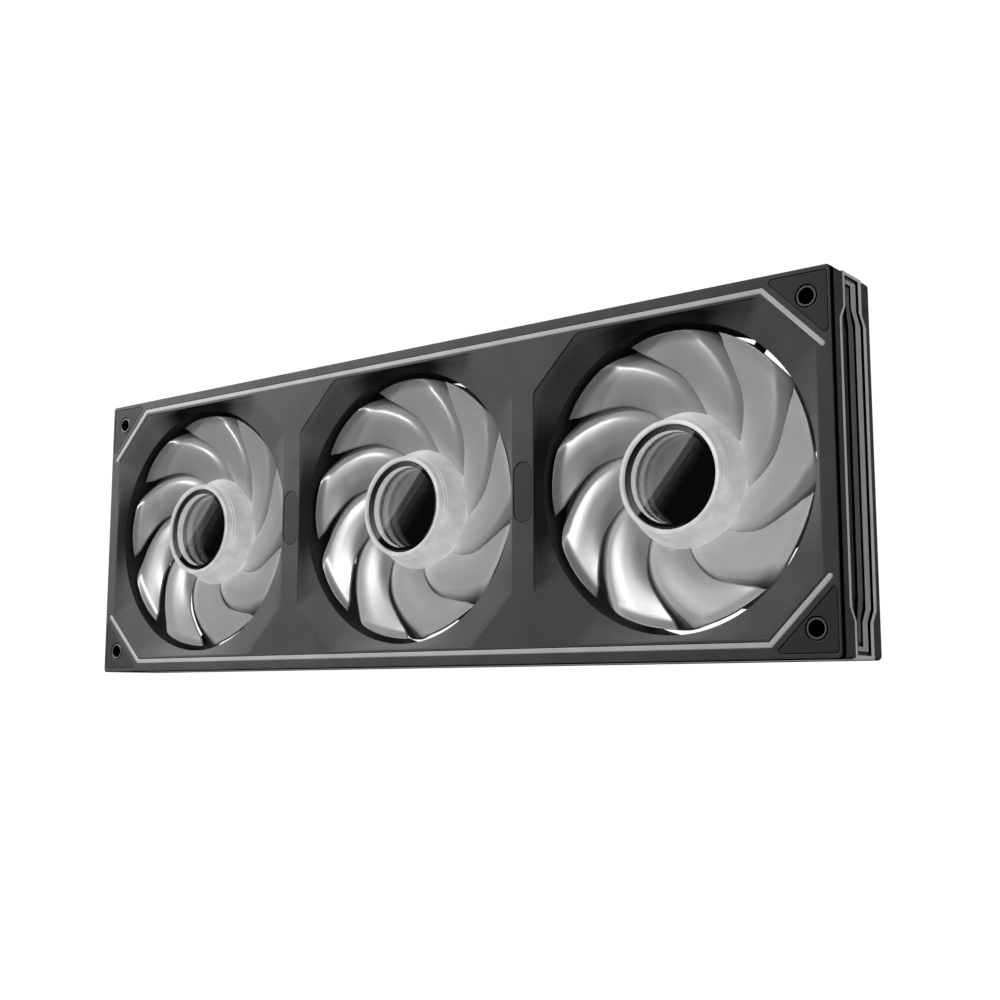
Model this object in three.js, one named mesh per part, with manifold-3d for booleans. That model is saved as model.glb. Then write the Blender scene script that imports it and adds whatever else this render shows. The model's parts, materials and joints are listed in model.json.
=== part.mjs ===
// Triple-fan module that bolts onto a long liquid cooling radiator.
// Millimetres, +Z up. X runs along the module, the bezel faces -Y and air leaves towards +Y.
// The module stands on its long edge, with its origin at the centre of that edge.
// Inside the functions y counts from the bezel's front face (0) to the rear pads (DEPTH),
// and x and z count from the middle fan's axis. The last group moves all of it into place.

import * as THREE from 'three';
import { mergeVertices } from 'three/addons/utils/BufferGeometryUtils.js';
import Module from 'manifold-3d';

const wasm = await Module();
wasm.setup();

// ---------------------------------------------------------------- driving dimensions

const LENGTH = 361.8;
const HEIGHT = 123.5;
const DEPTH = 29.2;
const CORNER_RADIUS = 1.5;
const FAN_PITCH = 120;
const FANS = [['left', -FAN_PITCH], ['middle', 0], ['right', FAN_PITCH]];
const SCREW_X = 172.5;
const SCREW_Z = 52.5;
const SIDES = [-1, 1];

const SEAM = 0.15;              // gap between shell pieces that meet
const INLAY_GAP = 0.12;         // gap round an inlaid strip or pad
const BEZEL_THICKNESS = 2.3;
const FUNNEL_END = 3.1;         // where the funnel reaches the round duct
const BODY_END = DEPTH - 0.2;   // rear face, which the rear pads stand proud of
const WALL = 2.2;
const FRAME_START = BEZEL_THICKNESS + 0.1;
const HOUSING_START = FUNNEL_END + 0.2;

const OCTAGON_HALF = 55;        // centre to a straight side
const OCTAGON_DIAGONAL = 64.2;  // centre to a corner cut
const OCTAGON_CORNER = 5;       // rounding where the two meet
const DUCT_RADIUS = 53;
const DUCT_SEGMENTS = 48;

const STRIP_WIDTH = 1.65;
const STRIP_Z = 57.1;
const STRIP_BEND_X = 156.7;
const STRIP_END = [177.4, 36.5];
const STRIP_DEPTH = 0.9;
const PAD_OUTER_X = 179.7;
const PAD_OUTER_Z = 60;
const PAD_LEG = 21.4;
const PAD_THICKNESS = 1.2;
const PAD_CORNER = 1;
const SLEEVE_BORE = 2.7;
const SLEEVE_OUTER = 3.4;
const SCREW_CLEARANCE = 3.75;
const OVAL_X = 60;
const OVAL_WIDTH = 8;
const OVAL_HEIGHT = 22;
const OVAL_THICKNESS = 1;

const RIM_Y = 1.4;              // front of the hub's lit rim
const RIM_OUTER = 19.6;
const MIRROR_POCKET = 17.9;
const CAVITY_RADIUS = 15.85;
const INSERT_RADIUS = 17.4;
const HUB_FLARE_Y = 13.5;
const HUB_RADIUS = 23;
const HUB_END = 24.5;
const HUB_SEGMENTS = 24;
const INSERT_SEGMENTS = 20;

const BLADES = 9;
const TIP_RADIUS = 51;
const ROOT_RADIUS = 21.8;
const FIRST_TIP_ANGLE = 29;     // degrees from +X, anticlockwise seen from the front
const ROOT_SWEEP = 41;          // degrees by which the root's leading edge trails the tip

const SHAFT_RADIUS = 1.5;
const BEARING_BORE = 1.62;
const BEARING_OUTER = 3;
const HOLDER_BORE = 3.2;
const HOLDER_OUTER = 4.6;
const STATOR_RADIUS = 17.2;
const STATOR_POLES = 4;
const MOTOR_CUP_RADIUS = 22.5;
const STRUTS = 4;

const TRIM_THICKNESS = 1.2;
const SIDE_BAND = [9.2, 23.4];  // depth range of the light band on the top and bottom faces
const SIDE_BAND_START = -172;

// ---------------------------------------------------------------- geometry helpers

/** Turns every face outwards by the sign of the enclosed volume. */
function faceOutwards(geometry) {
  const points = geometry.getAttribute('position');
  const index = geometry.getIndex();
  const [a, b, c] = [new THREE.Vector3(), new THREE.Vector3(), new THREE.Vector3()];
  let volume = 0;
  for (let i = 0; i < index.count; i += 3) {
    a.fromBufferAttribute(points, index.getX(i));
    b.fromBufferAttribute(points, index.getX(i + 1));
    c.fromBufferAttribute(points, index.getX(i + 2));
    volume += a.dot(b.cross(c));
  }
  if (volume < 0) {
    index.array.reverse();
  }
  return geometry;
}

/** Shares the vertices of a closed mesh and drops the empty triangles, so that it can be cut and joined. */
function weld(geometry) {
  geometry.deleteAttribute('normal');
  geometry.deleteAttribute('uv');
  const merged = mergeVertices(geometry, 1e-4);
  const corners = Array.from(merged.getIndex().array);
  const kept = [];
  for (let i = 0; i < corners.length; i += 3) {
    const triangle = corners.slice(i, i + 3);
    if (new Set(triangle).size === 3) {
      kept.push(...triangle);
    }
  }
  merged.setIndex(new THREE.BufferAttribute(new Uint32Array(kept), 1));
  return faceOutwards(merged);
}

function toSolid(geometry) {
  const welded = weld(geometry);
  const vertProperties = new Float32Array(welded.getAttribute('position').array);
  const triVerts = new Uint32Array(welded.getIndex().array);
  return new wasm.Manifold(new wasm.Mesh({ numProp: 3, vertProperties, triVerts }));
}

function fromSolid(solid) {
  const mesh = solid.getMesh();
  const geometry = new THREE.BufferGeometry();
  geometry.setAttribute('position', new THREE.BufferAttribute(new Float32Array(mesh.vertProperties), 3));
  geometry.setIndex(new THREE.BufferAttribute(new Uint32Array(mesh.triVerts), 1));
  return geometry;
}

function cut(geometry, tools) {
  return fromSolid(tools.reduce((solid, tool) => solid.subtract(toSolid(tool)), toSolid(geometry)));
}

function join(geometries) {
  const [first, ...rest] = geometries.map(toSolid);
  return fromSolid(rest.reduce((solid, other) => solid.add(other), first));
}

/** Extrudes an outline drawn in x and z from depth y0 to depth y1. */
function alongY(shape, y0, y1, curveSegments = 12) {
  const geometry = new THREE.ExtrudeGeometry(shape, { depth: y1 - y0, bevelEnabled: false, curveSegments });
  return geometry.rotateX(Math.PI / 2).translate(0, y1, 0);
}

/** Extrudes an outline drawn in y and z from x0 to x1. */
function alongX(shape, x0, x1) {
  const geometry = new THREE.ExtrudeGeometry(shape, { depth: x1 - x0, bevelEnabled: false });
  const turn = new THREE.Matrix4().makeBasis(
    new THREE.Vector3(0, 1, 0),
    new THREE.Vector3(0, 0, 1),
    new THREE.Vector3(1, 0, 0),
  );
  return geometry.applyMatrix4(turn).translate(x0, 0, 0);
}

/** Revolves a profile of [radius, y] points about the y axis. */
function revolve(profile, segments) {
  return new THREE.LatheGeometry(profile.map(([r, y]) => new THREE.Vector2(r, y)), segments);
}

/** A flat disc from depth y0 to depth y1. */
function disc(radius, y0, y1, segments) {
  return revolve([[0, y0], [radius, y0], [radius, y1], [0, y1]], segments);
}

/** A flat ring from depth y0 to depth y1. */
function ring(inner, outer, y0, y1, segments) {
  return revolve([[inner, y0], [outer, y0], [outer, y1], [inner, y1], [inner, y0]], segments);
}

function block(x0, x1, y0, y1, z0, z1) {
  const geometry = new THREE.BoxGeometry(x1 - x0, y1 - y0, z1 - z0);
  return geometry.translate((x0 + x1) / 2, (y0 + y1) / 2, (z0 + z1) / 2);
}

/** A closed outline, always drawn anticlockwise. */
function polygon(points) {
  const corners = points.map(([a, b]) => new THREE.Vector2(a, b));
  return new THREE.Shape(THREE.ShapeUtils.isClockWise(corners) ? corners.reverse() : corners);
}

/** A rectangle with round corners, centred on x. */
function roundedRectangle(x, width, height, radius) {
  const [w, h] = [width / 2 - radius, height / 2 - radius];
  const shape = new THREE.Shape();
  shape.absarc(x + w, h, radius, 0, Math.PI / 2);
  shape.absarc(x - w, h, radius, Math.PI / 2, Math.PI);
  shape.absarc(x - w, -h, radius, Math.PI, Math.PI * 1.5);
  shape.absarc(x + w, -h, radius, Math.PI * 1.5, Math.PI * 2);
  shape.closePath();
  return shape;
}

function circleHole(x, z, radius) {
  const path = new THREE.Path();
  path.absarc(x, z, radius, 0, Math.PI * 2, true);
  return path;
}

/** Mirrors an outline's points into the corner given by the two signs. */
function inCorner(points, signX, signZ) {
  return points.map(([x, z]) => [x * signX, z * signZ]);
}

// ---------------------------------------------------------------- outlines

/** Distance from a fan's axis to its octagonal opening, in the direction of an angle. */
function octagonRadius(angle) {
  const quarter = THREE.MathUtils.euclideanModulo(angle, Math.PI / 2);
  const a = Math.min(quarter, Math.PI / 2 - quarter);
  const centreX = OCTAGON_HALF - OCTAGON_CORNER;
  const centreZ = Math.SQRT2 * (OCTAGON_DIAGONAL - OCTAGON_CORNER) - centreX;
  const bevel = OCTAGON_CORNER * Math.SQRT1_2;
  if (a < Math.atan2(centreZ, OCTAGON_HALF)) {
    return OCTAGON_HALF / Math.cos(a);
  }
  if (a > Math.atan2(centreZ + bevel, centreX + bevel)) {
    return OCTAGON_DIAGONAL / Math.cos(Math.PI / 4 - a);
  }
  const along = centreX * Math.cos(a) + centreZ * Math.sin(a);
  return along + Math.sqrt(along ** 2 - centreX ** 2 - centreZ ** 2 + OCTAGON_CORNER ** 2);
}

/** The solid space of one funnel: octagon in front, circle where the duct starts. */
function funnelSpace(centreX) {
  const slope = 1 / FUNNEL_END;
  const rings = [[-1, -slope], [FUNNEL_END + 1, 1 + slope]];
  const positions = [];
  rings.forEach(([y, blend]) => {
    for (let i = 0; i < DUCT_SEGMENTS; i += 1) {
      const angle = (i / DUCT_SEGMENTS) * Math.PI * 2;
      const radius = THREE.MathUtils.lerp(octagonRadius(angle), DUCT_RADIUS, blend);
      positions.push(centreX + radius * Math.cos(angle), y, radius * Math.sin(angle));
    }
    positions.push(centreX, y, 0);
  });
  const stride = DUCT_SEGMENTS + 1;
  const triangles = [];
  for (let i = 0; i < DUCT_SEGMENTS; i += 1) {
    const next = (i + 1) % DUCT_SEGMENTS;
    triangles.push(i, next, stride + next, i, stride + next, stride + i);
    triangles.push(next, i, DUCT_SEGMENTS);
    triangles.push(stride + i, stride + next, stride + DUCT_SEGMENTS);
  }
  return indexed(positions, triangles);
}

function indexed(positions, triangles) {
  const geometry = new THREE.BufferGeometry();
  geometry.setAttribute('position', new THREE.Float32BufferAttribute(positions, 3));
  geometry.setIndex(new THREE.BufferAttribute(new Uint32Array(triangles), 1));
  return geometry;
}

/** Outline of a front strip: a long bar with both ends bent 45 degrees, of the given half width. */
function stripOutline(half, signZ) {
  const [endX, endZ] = STRIP_END;
  const miter = half * Math.tan(Math.PI / 8);
  const tip = (degrees) => {
    const angle = THREE.MathUtils.degToRad(degrees);
    return [endX + half * Math.cos(angle), endZ + half * Math.sin(angle)];
  };
  const right = [
    [STRIP_BEND_X - miter, STRIP_Z - half],
    ...[-135, -75, -15, 45].map(tip),
    [STRIP_BEND_X + miter, STRIP_Z + half],
  ];
  const left = right.map(([x, z]) => [-x, z]).reverse();
  return polygon([...right, ...left].map(([x, z]) => [x, z * signZ]));
}

/** Outline of a triangular corner pad, grown by a margin, with a round hole for the screw sleeve. */
function padOutline(signX, signZ, outerX, outerZ, leg, grow, holeRadius) {
  const r = PAD_CORNER + grow;
  const near = PAD_CORNER;
  const reach = near * (1 + Math.SQRT2);
  const centres = [
    [outerX - near, outerZ - leg + reach],
    [outerX - near, outerZ - near],
    [outerX - leg + reach, outerZ - near],
  ];
  const starts = [-3 / 4, 0, 1 / 2].map((k) => k * Math.PI);
  const ends = [0, 1 / 2, 5 / 4].map((k) => k * Math.PI);
  const points = [];
  centres.forEach(([x, z], i) => {
    for (let k = 0; k <= 2; k += 1) {
      const angle = THREE.MathUtils.lerp(starts[i], ends[i], k / 2);
      points.push([x + r * Math.cos(angle), z + r * Math.sin(angle)]);
    }
  });
  const shape = polygon(inCorner(points, signX, signZ));
  if (holeRadius > 0) {
    shape.holes.push(circleHole(SCREW_X * signX, SCREW_Z * signZ, holeRadius));
  }
  return shape;
}

function ovalOutline(centreX, grow) {
  const [width, height] = [OVAL_WIDTH + 2 * grow, OVAL_HEIGHT + 2 * grow];
  return roundedRectangle(centreX, width, height, width / 2 - 0.01);
}

// The right end's trim pieces are drawn in y and z. Each steps sideways between z 50 and z 45.5,
// and is the same above and below the fan axis.
function mirroredOutline(upperHalf) {
  const lower = upperHalf.map(([y, z]) => [y, -z]).reverse();
  return polygon([...upperHalf, ...lower]);
}

const TRIM_TOP = HEIGHT / 2 - SEAM;
const OUTER_TRIM = [[26.3, 46], [23.4, 50], [23.4, TRIM_TOP], [9.2, TRIM_TOP], [9.2, 50], [6, 45.5]];
const OUTER_TRIM_WINDOW = [[24, 46.2], [21, 50.3], [21, 60.5], [10.6, 60.5], [10.6, 50.3], [7.7, 45.9]];
const DARK_STRIP = [[16.2, 43], [13.7, 50], [13.7, 56.5], [11.3, 56.5], [11.3, 50], [12.5, 43]];
const END_RAIL = [[10.5, 42], [9.4, 44.5], [8.3, 44.5]];
const RIB_OUTER = [[22.2, 45.5], [19.3, 50], [19.3, 59.2], [11.5, 59.2]];
const RIB_INNER = [[11.5, 57.8], [15.4, 57.8], [15.4, 50.3], [18.3, 45.8]];

// ---------------------------------------------------------------- shell

function frontBezel() {
  const plate = alongY(roundedRectangle(0, LENGTH, HEIGHT, CORNER_RADIUS), 0, BEZEL_THICKNESS, 3);
  const inset = 2 * (WALL + 2 * SEAM);
  const backing = alongY(
    roundedRectangle(0, LENGTH - inset, HEIGHT - inset, CORNER_RADIUS), BEZEL_THICKNESS - 0.5, FUNNEL_END, 2);
  const tools = FANS.map(([, x]) => funnelSpace(x));
  SIDES.forEach((signZ) => {
    tools.push(alongY(stripOutline(STRIP_WIDTH / 2 + INLAY_GAP, signZ), -1, STRIP_DEPTH + 2 * INLAY_GAP));
    tools.push(alongY(ovalOutline(OVAL_X * signZ, INLAY_GAP), -1, OVAL_THICKNESS + 0.3, 5));
    SIDES.forEach((signX) => {
      const recess = padOutline(signX, signZ, PAD_OUTER_X, PAD_OUTER_Z, PAD_LEG, INLAY_GAP, 0);
      tools.push(alongY(recess, -1, PAD_THICKNESS + 0.2));
      tools.push(disc(SCREW_CLEARANCE, -1, FUNNEL_END + 1, 16).translate(SCREW_X * signX, 0, SCREW_Z * signZ));
    });
  });
  return cut(join([plate, backing]), tools);
}

/** The open rectangular shell between the bezel and the radiator. */
function mainFrame() {
  const outer = roundedRectangle(0, LENGTH, HEIGHT, CORNER_RADIUS);
  const inset = 2 * (WALL + SEAM);
  const inner = roundedRectangle(0, LENGTH - inset, HEIGHT - inset, CORNER_RADIUS);
  const tools = [
    alongY(inner, FRAME_START - 1, DEPTH + 1, 2),
    endPocket(),
    block(-LENGTH, SOCKET.x1 + SEAM, SOCKET.y0 - SEAM, SOCKET.y1 + SEAM, SOCKET.z0 - SEAM, SOCKET.z1 + SEAM),
  ];
  SIDES.forEach((signZ) => {
    const zs = [signZ * (HEIGHT / 2 - TRIM_THICKNESS), signZ * HEIGHT].sort((a, b) => a - b);
    const [y0, y1] = SIDE_BAND;
    tools.push(block(SIDE_BAND_START - INLAY_GAP, LENGTH, y0 - INLAY_GAP, y1 + INLAY_GAP, zs[0], zs[1]));
  });
  return cut(alongY(outer, FRAME_START, BODY_END, 3), tools);
}

function endPocket() {
  const grown = OUTER_TRIM.map(([y, z]) => [y + (y > 15 ? INLAY_GAP : -INLAY_GAP), z > 51 ? z + 1 : z]);
  return alongX(mirroredOutline(grown), endFloor() - INLAY_GAP, LENGTH);
}

/** The x of the trim pieces' hidden faces. */
function endFloor() {
  return LENGTH / 2 - TRIM_THICKNESS;
}

function endPiece(shape, standBack) {
  return alongX(shape, endFloor(), LENGTH / 2 - standBack);
}

function endOuterTrim() {
  const shape = mirroredOutline(OUTER_TRIM);
  shape.holes.push(mirroredOutline(OUTER_TRIM_WINDOW));
  return endPiece(shape, 0);
}

function endRib() {
  const outer = RIB_OUTER.map(([y, z]) => [y, -z]).reverse();
  const inner = RIB_INNER.map(([y, z]) => [y, -z]).reverse();
  return endPiece(polygon([...RIB_INNER, ...inner, ...outer, ...RIB_OUTER]), 0.2);
}

function sideBand(signZ) {
  const zs = [signZ * (HEIGHT / 2 - TRIM_THICKNESS + INLAY_GAP), signZ * (HEIGHT / 2 - SEAM)];
  zs.sort((a, b) => a - b);
  return block(SIDE_BAND_START, endFloor() - SEAM, SIDE_BAND[0], SIDE_BAND[1], zs[0], zs[1]);
}

// ---------------------------------------------------------------- housings

const REAR_PAD = { x: 177.4, z: 58.2, leg: 19.9, thickness: 1.1 };
const SOCKET = { x0: -180.7, x1: -172.5, y0: 11.5, y1: 18.5, z0: -40, z1: -26 };

/** One square housing with its round duct, rear struts and motor cup. */
function fanHousing(name, centreX) {
  const reach = LENGTH / 2 - WALL - 2 * SEAM;
  const edges = { left: [-reach, -FAN_PITCH / 2 - SEAM], right: [FAN_PITCH / 2 + SEAM, reach] };
  const [x0, x1] = edges[name] ?? [-FAN_PITCH / 2 + SEAM, FAN_PITCH / 2 - SEAM];
  const height = HEIGHT - 2 * (WALL + 2 * SEAM);
  const body = alongY(roundedRectangle((x0 + x1) / 2, x1 - x0, height, 1), HOUSING_START, BODY_END, 2);
  const duct = disc(DUCT_RADIUS, 0, DEPTH + 1, DUCT_SEGMENTS).translate(centreX, 0, 0);
  const outwards = Math.sign(centreX);
  const tools = [duct];
  if (outwards !== 0) {
    SIDES.forEach((signZ) => {
      const recess = padOutline(outwards, signZ, REAR_PAD.x, REAR_PAD.z, REAR_PAD.leg, INLAY_GAP, 0);
      tools.push(alongY(recess, DEPTH - REAR_PAD.thickness - 0.1, DEPTH + 1));
      tools.push(disc(SCREW_CLEARANCE, 0, DEPTH + 1, 16).translate(SCREW_X * outwards, 0, SCREW_Z * signZ));
    });
  }
  if (outwards < 0) {
    tools.push(block(-LENGTH, SOCKET.x1 + 0.3, SOCKET.y0 - 0.3, SOCKET.y1 + 0.3, SOCKET.z0 - 0.3, SOCKET.z1 + 0.3));
  }
  return join([cut(body, tools), ...rearStruts(centreX), motorCup().translate(centreX, 0, 0)]);
}

function rearStruts(centreX) {
  const [y0, y1] = [25.2, BODY_END - 0.2];
  const sideways = 9;
  return Array.from({ length: STRUTS }, (_, k) => {
    const strut = block(18, DUCT_RADIUS + 0.5, y0, y1, sideways - 1.9, sideways + 1.9);
    return strut.rotateY(((k + 0.4) / STRUTS) * Math.PI * 2).translate(centreX, 0, 0);
  });
}

/** The cup behind the motor, with the tube that holds the bearing. */
function motorCup() {
  const [front, floor, back] = [25.4, 26.6, BODY_END - 0.3];
  const lip = MOTOR_CUP_RADIUS - 1.5;
  return revolve([
    [0, back],
    [MOTOR_CUP_RADIUS, back],
    [MOTOR_CUP_RADIUS, front],
    [lip, front],
    [lip, floor],
    [HOLDER_OUTER, floor],
    [HOLDER_OUTER, 10.6],
    [HOLDER_BORE, 10.6],
    [HOLDER_BORE, 26.2],
    [0, 26.2],
  ], 24);
}

function cableSocket() {
  const shell = block(SOCKET.x0, SOCKET.x1, SOCKET.y0, SOCKET.y1, SOCKET.z0, SOCKET.z1);
  const mouth = block(-LENGTH, SOCKET.x0 + 6, SOCKET.y0 + 1, SOCKET.y1 - 1, SOCKET.z0 + 1, SOCKET.z1 - 1);
  const pins = Array.from({ length: 4 }, (_, k) => {
    const z = THREE.MathUtils.lerp(SOCKET.z0, SOCKET.z1, (k + 1) / 5);
    const y = (SOCKET.y0 + SOCKET.y1) / 2;
    return block(SOCKET.x0 + 3, SOCKET.x0 + 6.5, y - 0.3, y + 0.3, z - 0.3, z + 0.3);
  });
  return join([cut(shell, [mouth]), ...pins]);
}

// ---------------------------------------------------------------- rotor

/** Shape of a blade at radius r, where s runs from the leading (0) to the trailing edge (1). */
function bladePoint(r, s) {
  const outward = (r - ROOT_RADIUS) / (TIP_RADIUS - ROOT_RADIUS);
  const sweep = -ROOT_SWEEP * (1 - outward);
  const chord = 54 - 5 * outward + 28 * outward * (1 - outward);
  const front = 14.3 - 8.3 * outward ** 0.7;
  const fall = 8 + 8 * outward;
  const curl = 1.3 + 3.2 * outward;
  return {
    angle: THREE.MathUtils.degToRad(sweep - chord * s),
    y: front + fall * s ** curl,
  };
}

/** A closed, twisted slab: the blade's front and back skins, half a thickness either side. */
function blade(tipAngle) {
  const radii = [0, 0.33, 0.6, 0.82, 1].map((k) => THREE.MathUtils.lerp(ROOT_RADIUS, TIP_RADIUS, k));
  const stations = [0, 0.3, 0.55, 0.75, 0.89, 1];
  const positions = [];
  radii.forEach((r) => {
    const skins = { front: [], back: [] };
    stations.forEach((s) => {
      const here = bladePoint(r, s);
      const before = bladePoint(r, Math.max(s - 0.02, 0));
      const after = bladePoint(r, Math.min(s + 0.02, 1));
      const along = (after.angle - before.angle) * r;
      const rise = after.y - before.y;
      const scale = (0.8 + 0.8 * Math.sin(Math.PI * s)) / 2 / Math.hypot(along, rise);
      const turn = (rise * scale) / r;
      const lift = along * scale;
      skins.front.push([here.angle - turn, here.y + lift]);
      skins.back.unshift([here.angle + turn, here.y - lift]);
    });
    [...skins.front, ...skins.back].forEach(([angle, y]) => {
      const a = angle + THREE.MathUtils.degToRad(tipAngle);
      positions.push(r * Math.cos(a), y, r * Math.sin(a));
    });
  });
  return indexed(positions, slabTriangles(radii.length, stations.length));
}

/** Faces of a slab whose sections each hold count front points, then count back points reversed. */
function slabTriangles(sections, count) {
  const around = 2 * count;
  const triangles = [];
  const quad = (a, b, c, d) => triangles.push(a, b, c, a, c, d);
  for (let i = 0; i < sections - 1; i += 1) {
    for (let j = 0; j < around; j += 1) {
      const next = (j + 1) % around;
      quad(i * around + j, i * around + next, (i + 1) * around + next, (i + 1) * around + j);
    }
  }
  const last = (sections - 1) * around;
  for (let j = 0; j < count - 1; j += 1) {
    quad(j, around - 1 - j, around - 2 - j, j + 1);
    quad(last + j, last + j + 1, last + around - 2 - j, last + around - 1 - j);
  }
  return triangles;
}

/** The hub: a cup open to the rear, with a shallow pocket for the mirrors in front. */
function hub() {
  return revolve([
    [MIRROR_POCKET, RIM_Y],
    [RIM_OUTER, RIM_Y],
    [20.3, 4.4],
    [HUB_RADIUS, HUB_FLARE_Y],
    [HUB_RADIUS, HUB_END],
    [20.7, HUB_END],
    [20.7, 13.2],
    [19, 10.5],
    [19, 7.6],
    [3.6, 7.6],
    [3.6, 10],
    [1.8, 10],
    [1.8, 6.9],
    [0, 6.9],
    [0, 5.6],
    [MIRROR_POCKET, 5.6],
    [MIRROR_POCKET, RIM_Y],
  ], HUB_SEGMENTS);
}

function rotor() {
  const pitch = 360 / BLADES;
  const blades = Array.from({ length: BLADES }, (_, k) => blade(FIRST_TIP_ANGLE + k * pitch));
  return join([hub(), ...blades]);
}

// ---------------------------------------------------------------- motor

/** Outline of the stator: four T-shaped poles round a ring. */
function statorShape() {
  const [neck, core] = [3, 7.5];
  const shoe = STATOR_RADIUS - 2.4;
  const points = [];
  for (let k = 0; k < STATOR_POLES; k += 1) {
    const middle = (k / STATOR_POLES) * Math.PI * 2;
    const at = (r, offset) => points.push([r * Math.cos(middle + offset), r * Math.sin(middle + offset)]);
    at(core, -0.55);
    at(core, -neck / core);
    at(shoe, -neck / shoe);
    at(shoe, -0.62);
    at(STATOR_RADIUS, -0.6);
    at(STATOR_RADIUS, 0);
    at(STATOR_RADIUS, 0.6);
    at(shoe, 0.62);
    at(shoe, neck / shoe);
    at(core, neck / core);
  }
  const shape = polygon(points);
  shape.holes.push(circleHole(0, 0, HOLDER_OUTER + 0.3));
  return shape;
}

/** A round circuit board behind the stator, with lamps that face the bezel. */
function motorBoard() {
  const board = ring(HOLDER_OUTER + 0.3, STATOR_RADIUS, 23.2, 24.2, INSERT_SEGMENTS);
  const lamps = Array.from({ length: 6 }, (_, k) => {
    const lamp = block(-1.1, 1.1, 22.5, 23.5, -1.1, 1.1).translate(STATOR_RADIUS - 2.2, 0, 0);
    return lamp.rotateY(((k + 0.5) / 6) * Math.PI * 2);
  });
  return join([board, ...lamps]);
}

// ---------------------------------------------------------------- assembly

const MATERIALS = {
  shell: { color: 0x4a4a4c, roughness: 0.55, metalness: 0 },
  frame: { color: 0x2b2b2d, roughness: 0.6, metalness: 0 },
  housing: { color: 0x252527, roughness: 0.6, metalness: 0 },
  light_strip: { color: 0x9d9d9d, roughness: 0.45, metalness: 0 },
  rib: { color: 0x878787, roughness: 0.5, metalness: 0 },
  dark_trim: { color: 0x2a2a2a, roughness: 0.5, metalness: 0 },
  pad: { color: 0x303030, roughness: 0.85, metalness: 0 },
  sleeve: { color: 0x555557, roughness: 0.4, metalness: 0 },
  frosted: { color: 0xd9d9d9, roughness: 0.35, metalness: 0 },
  glass: { color: 0x8a8a8a, roughness: 0.05, metalness: 0 },
  mask: { color: 0x060606, roughness: 0.3, metalness: 0 },
  lit_band: { color: 0xe8e8e8, roughness: 0.4, metalness: 0 },
  mirror: { color: 0xc8c8c8, roughness: 0.05, metalness: 1 },
  magnet: { color: 0x3c3c3e, roughness: 0.7, metalness: 0.3 },
  steel: { color: 0xb5b5b8, roughness: 0.3, metalness: 1 },
  bronze: { color: 0x9a7b4f, roughness: 0.5, metalness: 1 },
  stator: { color: 0x77797c, roughness: 0.5, metalness: 0.9 },
  board: { color: 0x1d3324, roughness: 0.6, metalness: 0 },
  socket: { color: 0x141414, roughness: 0.5, metalness: 0 },
};

const part = new THREE.Group();
part.position.set(0, -DEPTH / 2, HEIGHT / 2);

function place(name, geometry, slot, parent = part) {
  const mesh = new THREE.Mesh(weld(geometry), new THREE.MeshStandardMaterial(MATERIALS[slot]));
  mesh.name = name;
  parent.add(mesh);
}

/** The pieces of one fan, built round its own axis. */
function placeFan(name, centreX) {
  place(`fan_housing_${name}`, fanHousing(name, centreX), 'housing');
  const fan = new THREE.Group();
  fan.position.x = centreX;
  part.add(fan);
  const insert = INSERT_RADIUS;
  place(`rotor_${name}`, rotor(), 'frosted', fan);
  place(`mirror_glass_${name}`, disc(insert, 1.6, 2.2, INSERT_SEGMENTS), 'glass', fan);
  place(`mask_ring_${name}`, ring(CAVITY_RADIUS, insert, 2.35, 3.2, INSERT_SEGMENTS), 'mask', fan);
  place(`light_band_${name}`, ring(CAVITY_RADIUS, insert, 3.3, 4.6, INSERT_SEGMENTS), 'lit_band', fan);
  place(`rear_mirror_${name}`, disc(insert, 4.75, 5.3, INSERT_SEGMENTS), 'mirror', fan);
  place(`magnet_ring_${name}`, ring(17.9, 20.3, 14, 24, INSERT_SEGMENTS), 'magnet', fan);
  place(`shaft_${name}`, disc(SHAFT_RADIUS, 7.2, 25.9, 12), 'steel', fan);
  place(`bearing_${name}`, ring(BEARING_BORE, BEARING_OUTER, 10.8, 26, 16), 'bronze', fan);
  place(`stator_${name}`, alongY(statorShape(), 14.5, 22, 6), 'stator', fan);
  place(`motor_board_${name}`, motorBoard(), 'board', fan);
}

/** The pads, sleeve and screw hole in one corner. */
function placeCorner(name, signX, signZ) {
  const front = padOutline(signX, signZ, PAD_OUTER_X, PAD_OUTER_Z, PAD_LEG, 0, SCREW_CLEARANCE);
  const rear = padOutline(signX, signZ, REAR_PAD.x, REAR_PAD.z, REAR_PAD.leg, 0, SCREW_CLEARANCE);
  const sleeve = ring(SLEEVE_BORE, SLEEVE_OUTER, 0.1, BODY_END, 12);
  place(`front_pad_${name}`, alongY(front, 0.1, PAD_THICKNESS + 0.1, 4), 'pad');
  place(`rear_pad_${name}`, alongY(rear, DEPTH - REAR_PAD.thickness, DEPTH, 4), 'pad');
  place(`screw_sleeve_${name}`, sleeve.translate(SCREW_X * signX, 0, SCREW_Z * signZ), 'sleeve');
}

place('front_bezel', frontBezel(), 'shell');
place('main_frame', mainFrame(), 'frame');
FANS.forEach(([name, x]) => placeFan(name, x));
[['upper', 1], ['lower', -1]].forEach(([level, signZ]) => {
  place(`front_strip_${level}`, alongY(stripOutline(STRIP_WIDTH / 2, signZ), 0, STRIP_DEPTH), 'light_strip');
  place(`side_band_${level}`, sideBand(signZ), 'light_strip');
  [['left', -1], ['right', 1]].forEach(([side, signX]) => placeCorner(`${level}_${side}`, signX, signZ));
});
[['left', -1], ['right', 1]].forEach(([side, sign]) => {
  place(`oval_plate_${side}`, alongY(ovalOutline(OVAL_X * sign, 0), 0.15, OVAL_THICKNESS + 0.15, 5), 'dark_trim');
});
place('end_outer_trim', endOuterTrim(), 'light_strip');
place('end_rib', endRib(), 'rib');
place('end_dark_strip', endPiece(mirroredOutline(DARK_STRIP), 0.1), 'dark_trim');
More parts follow.
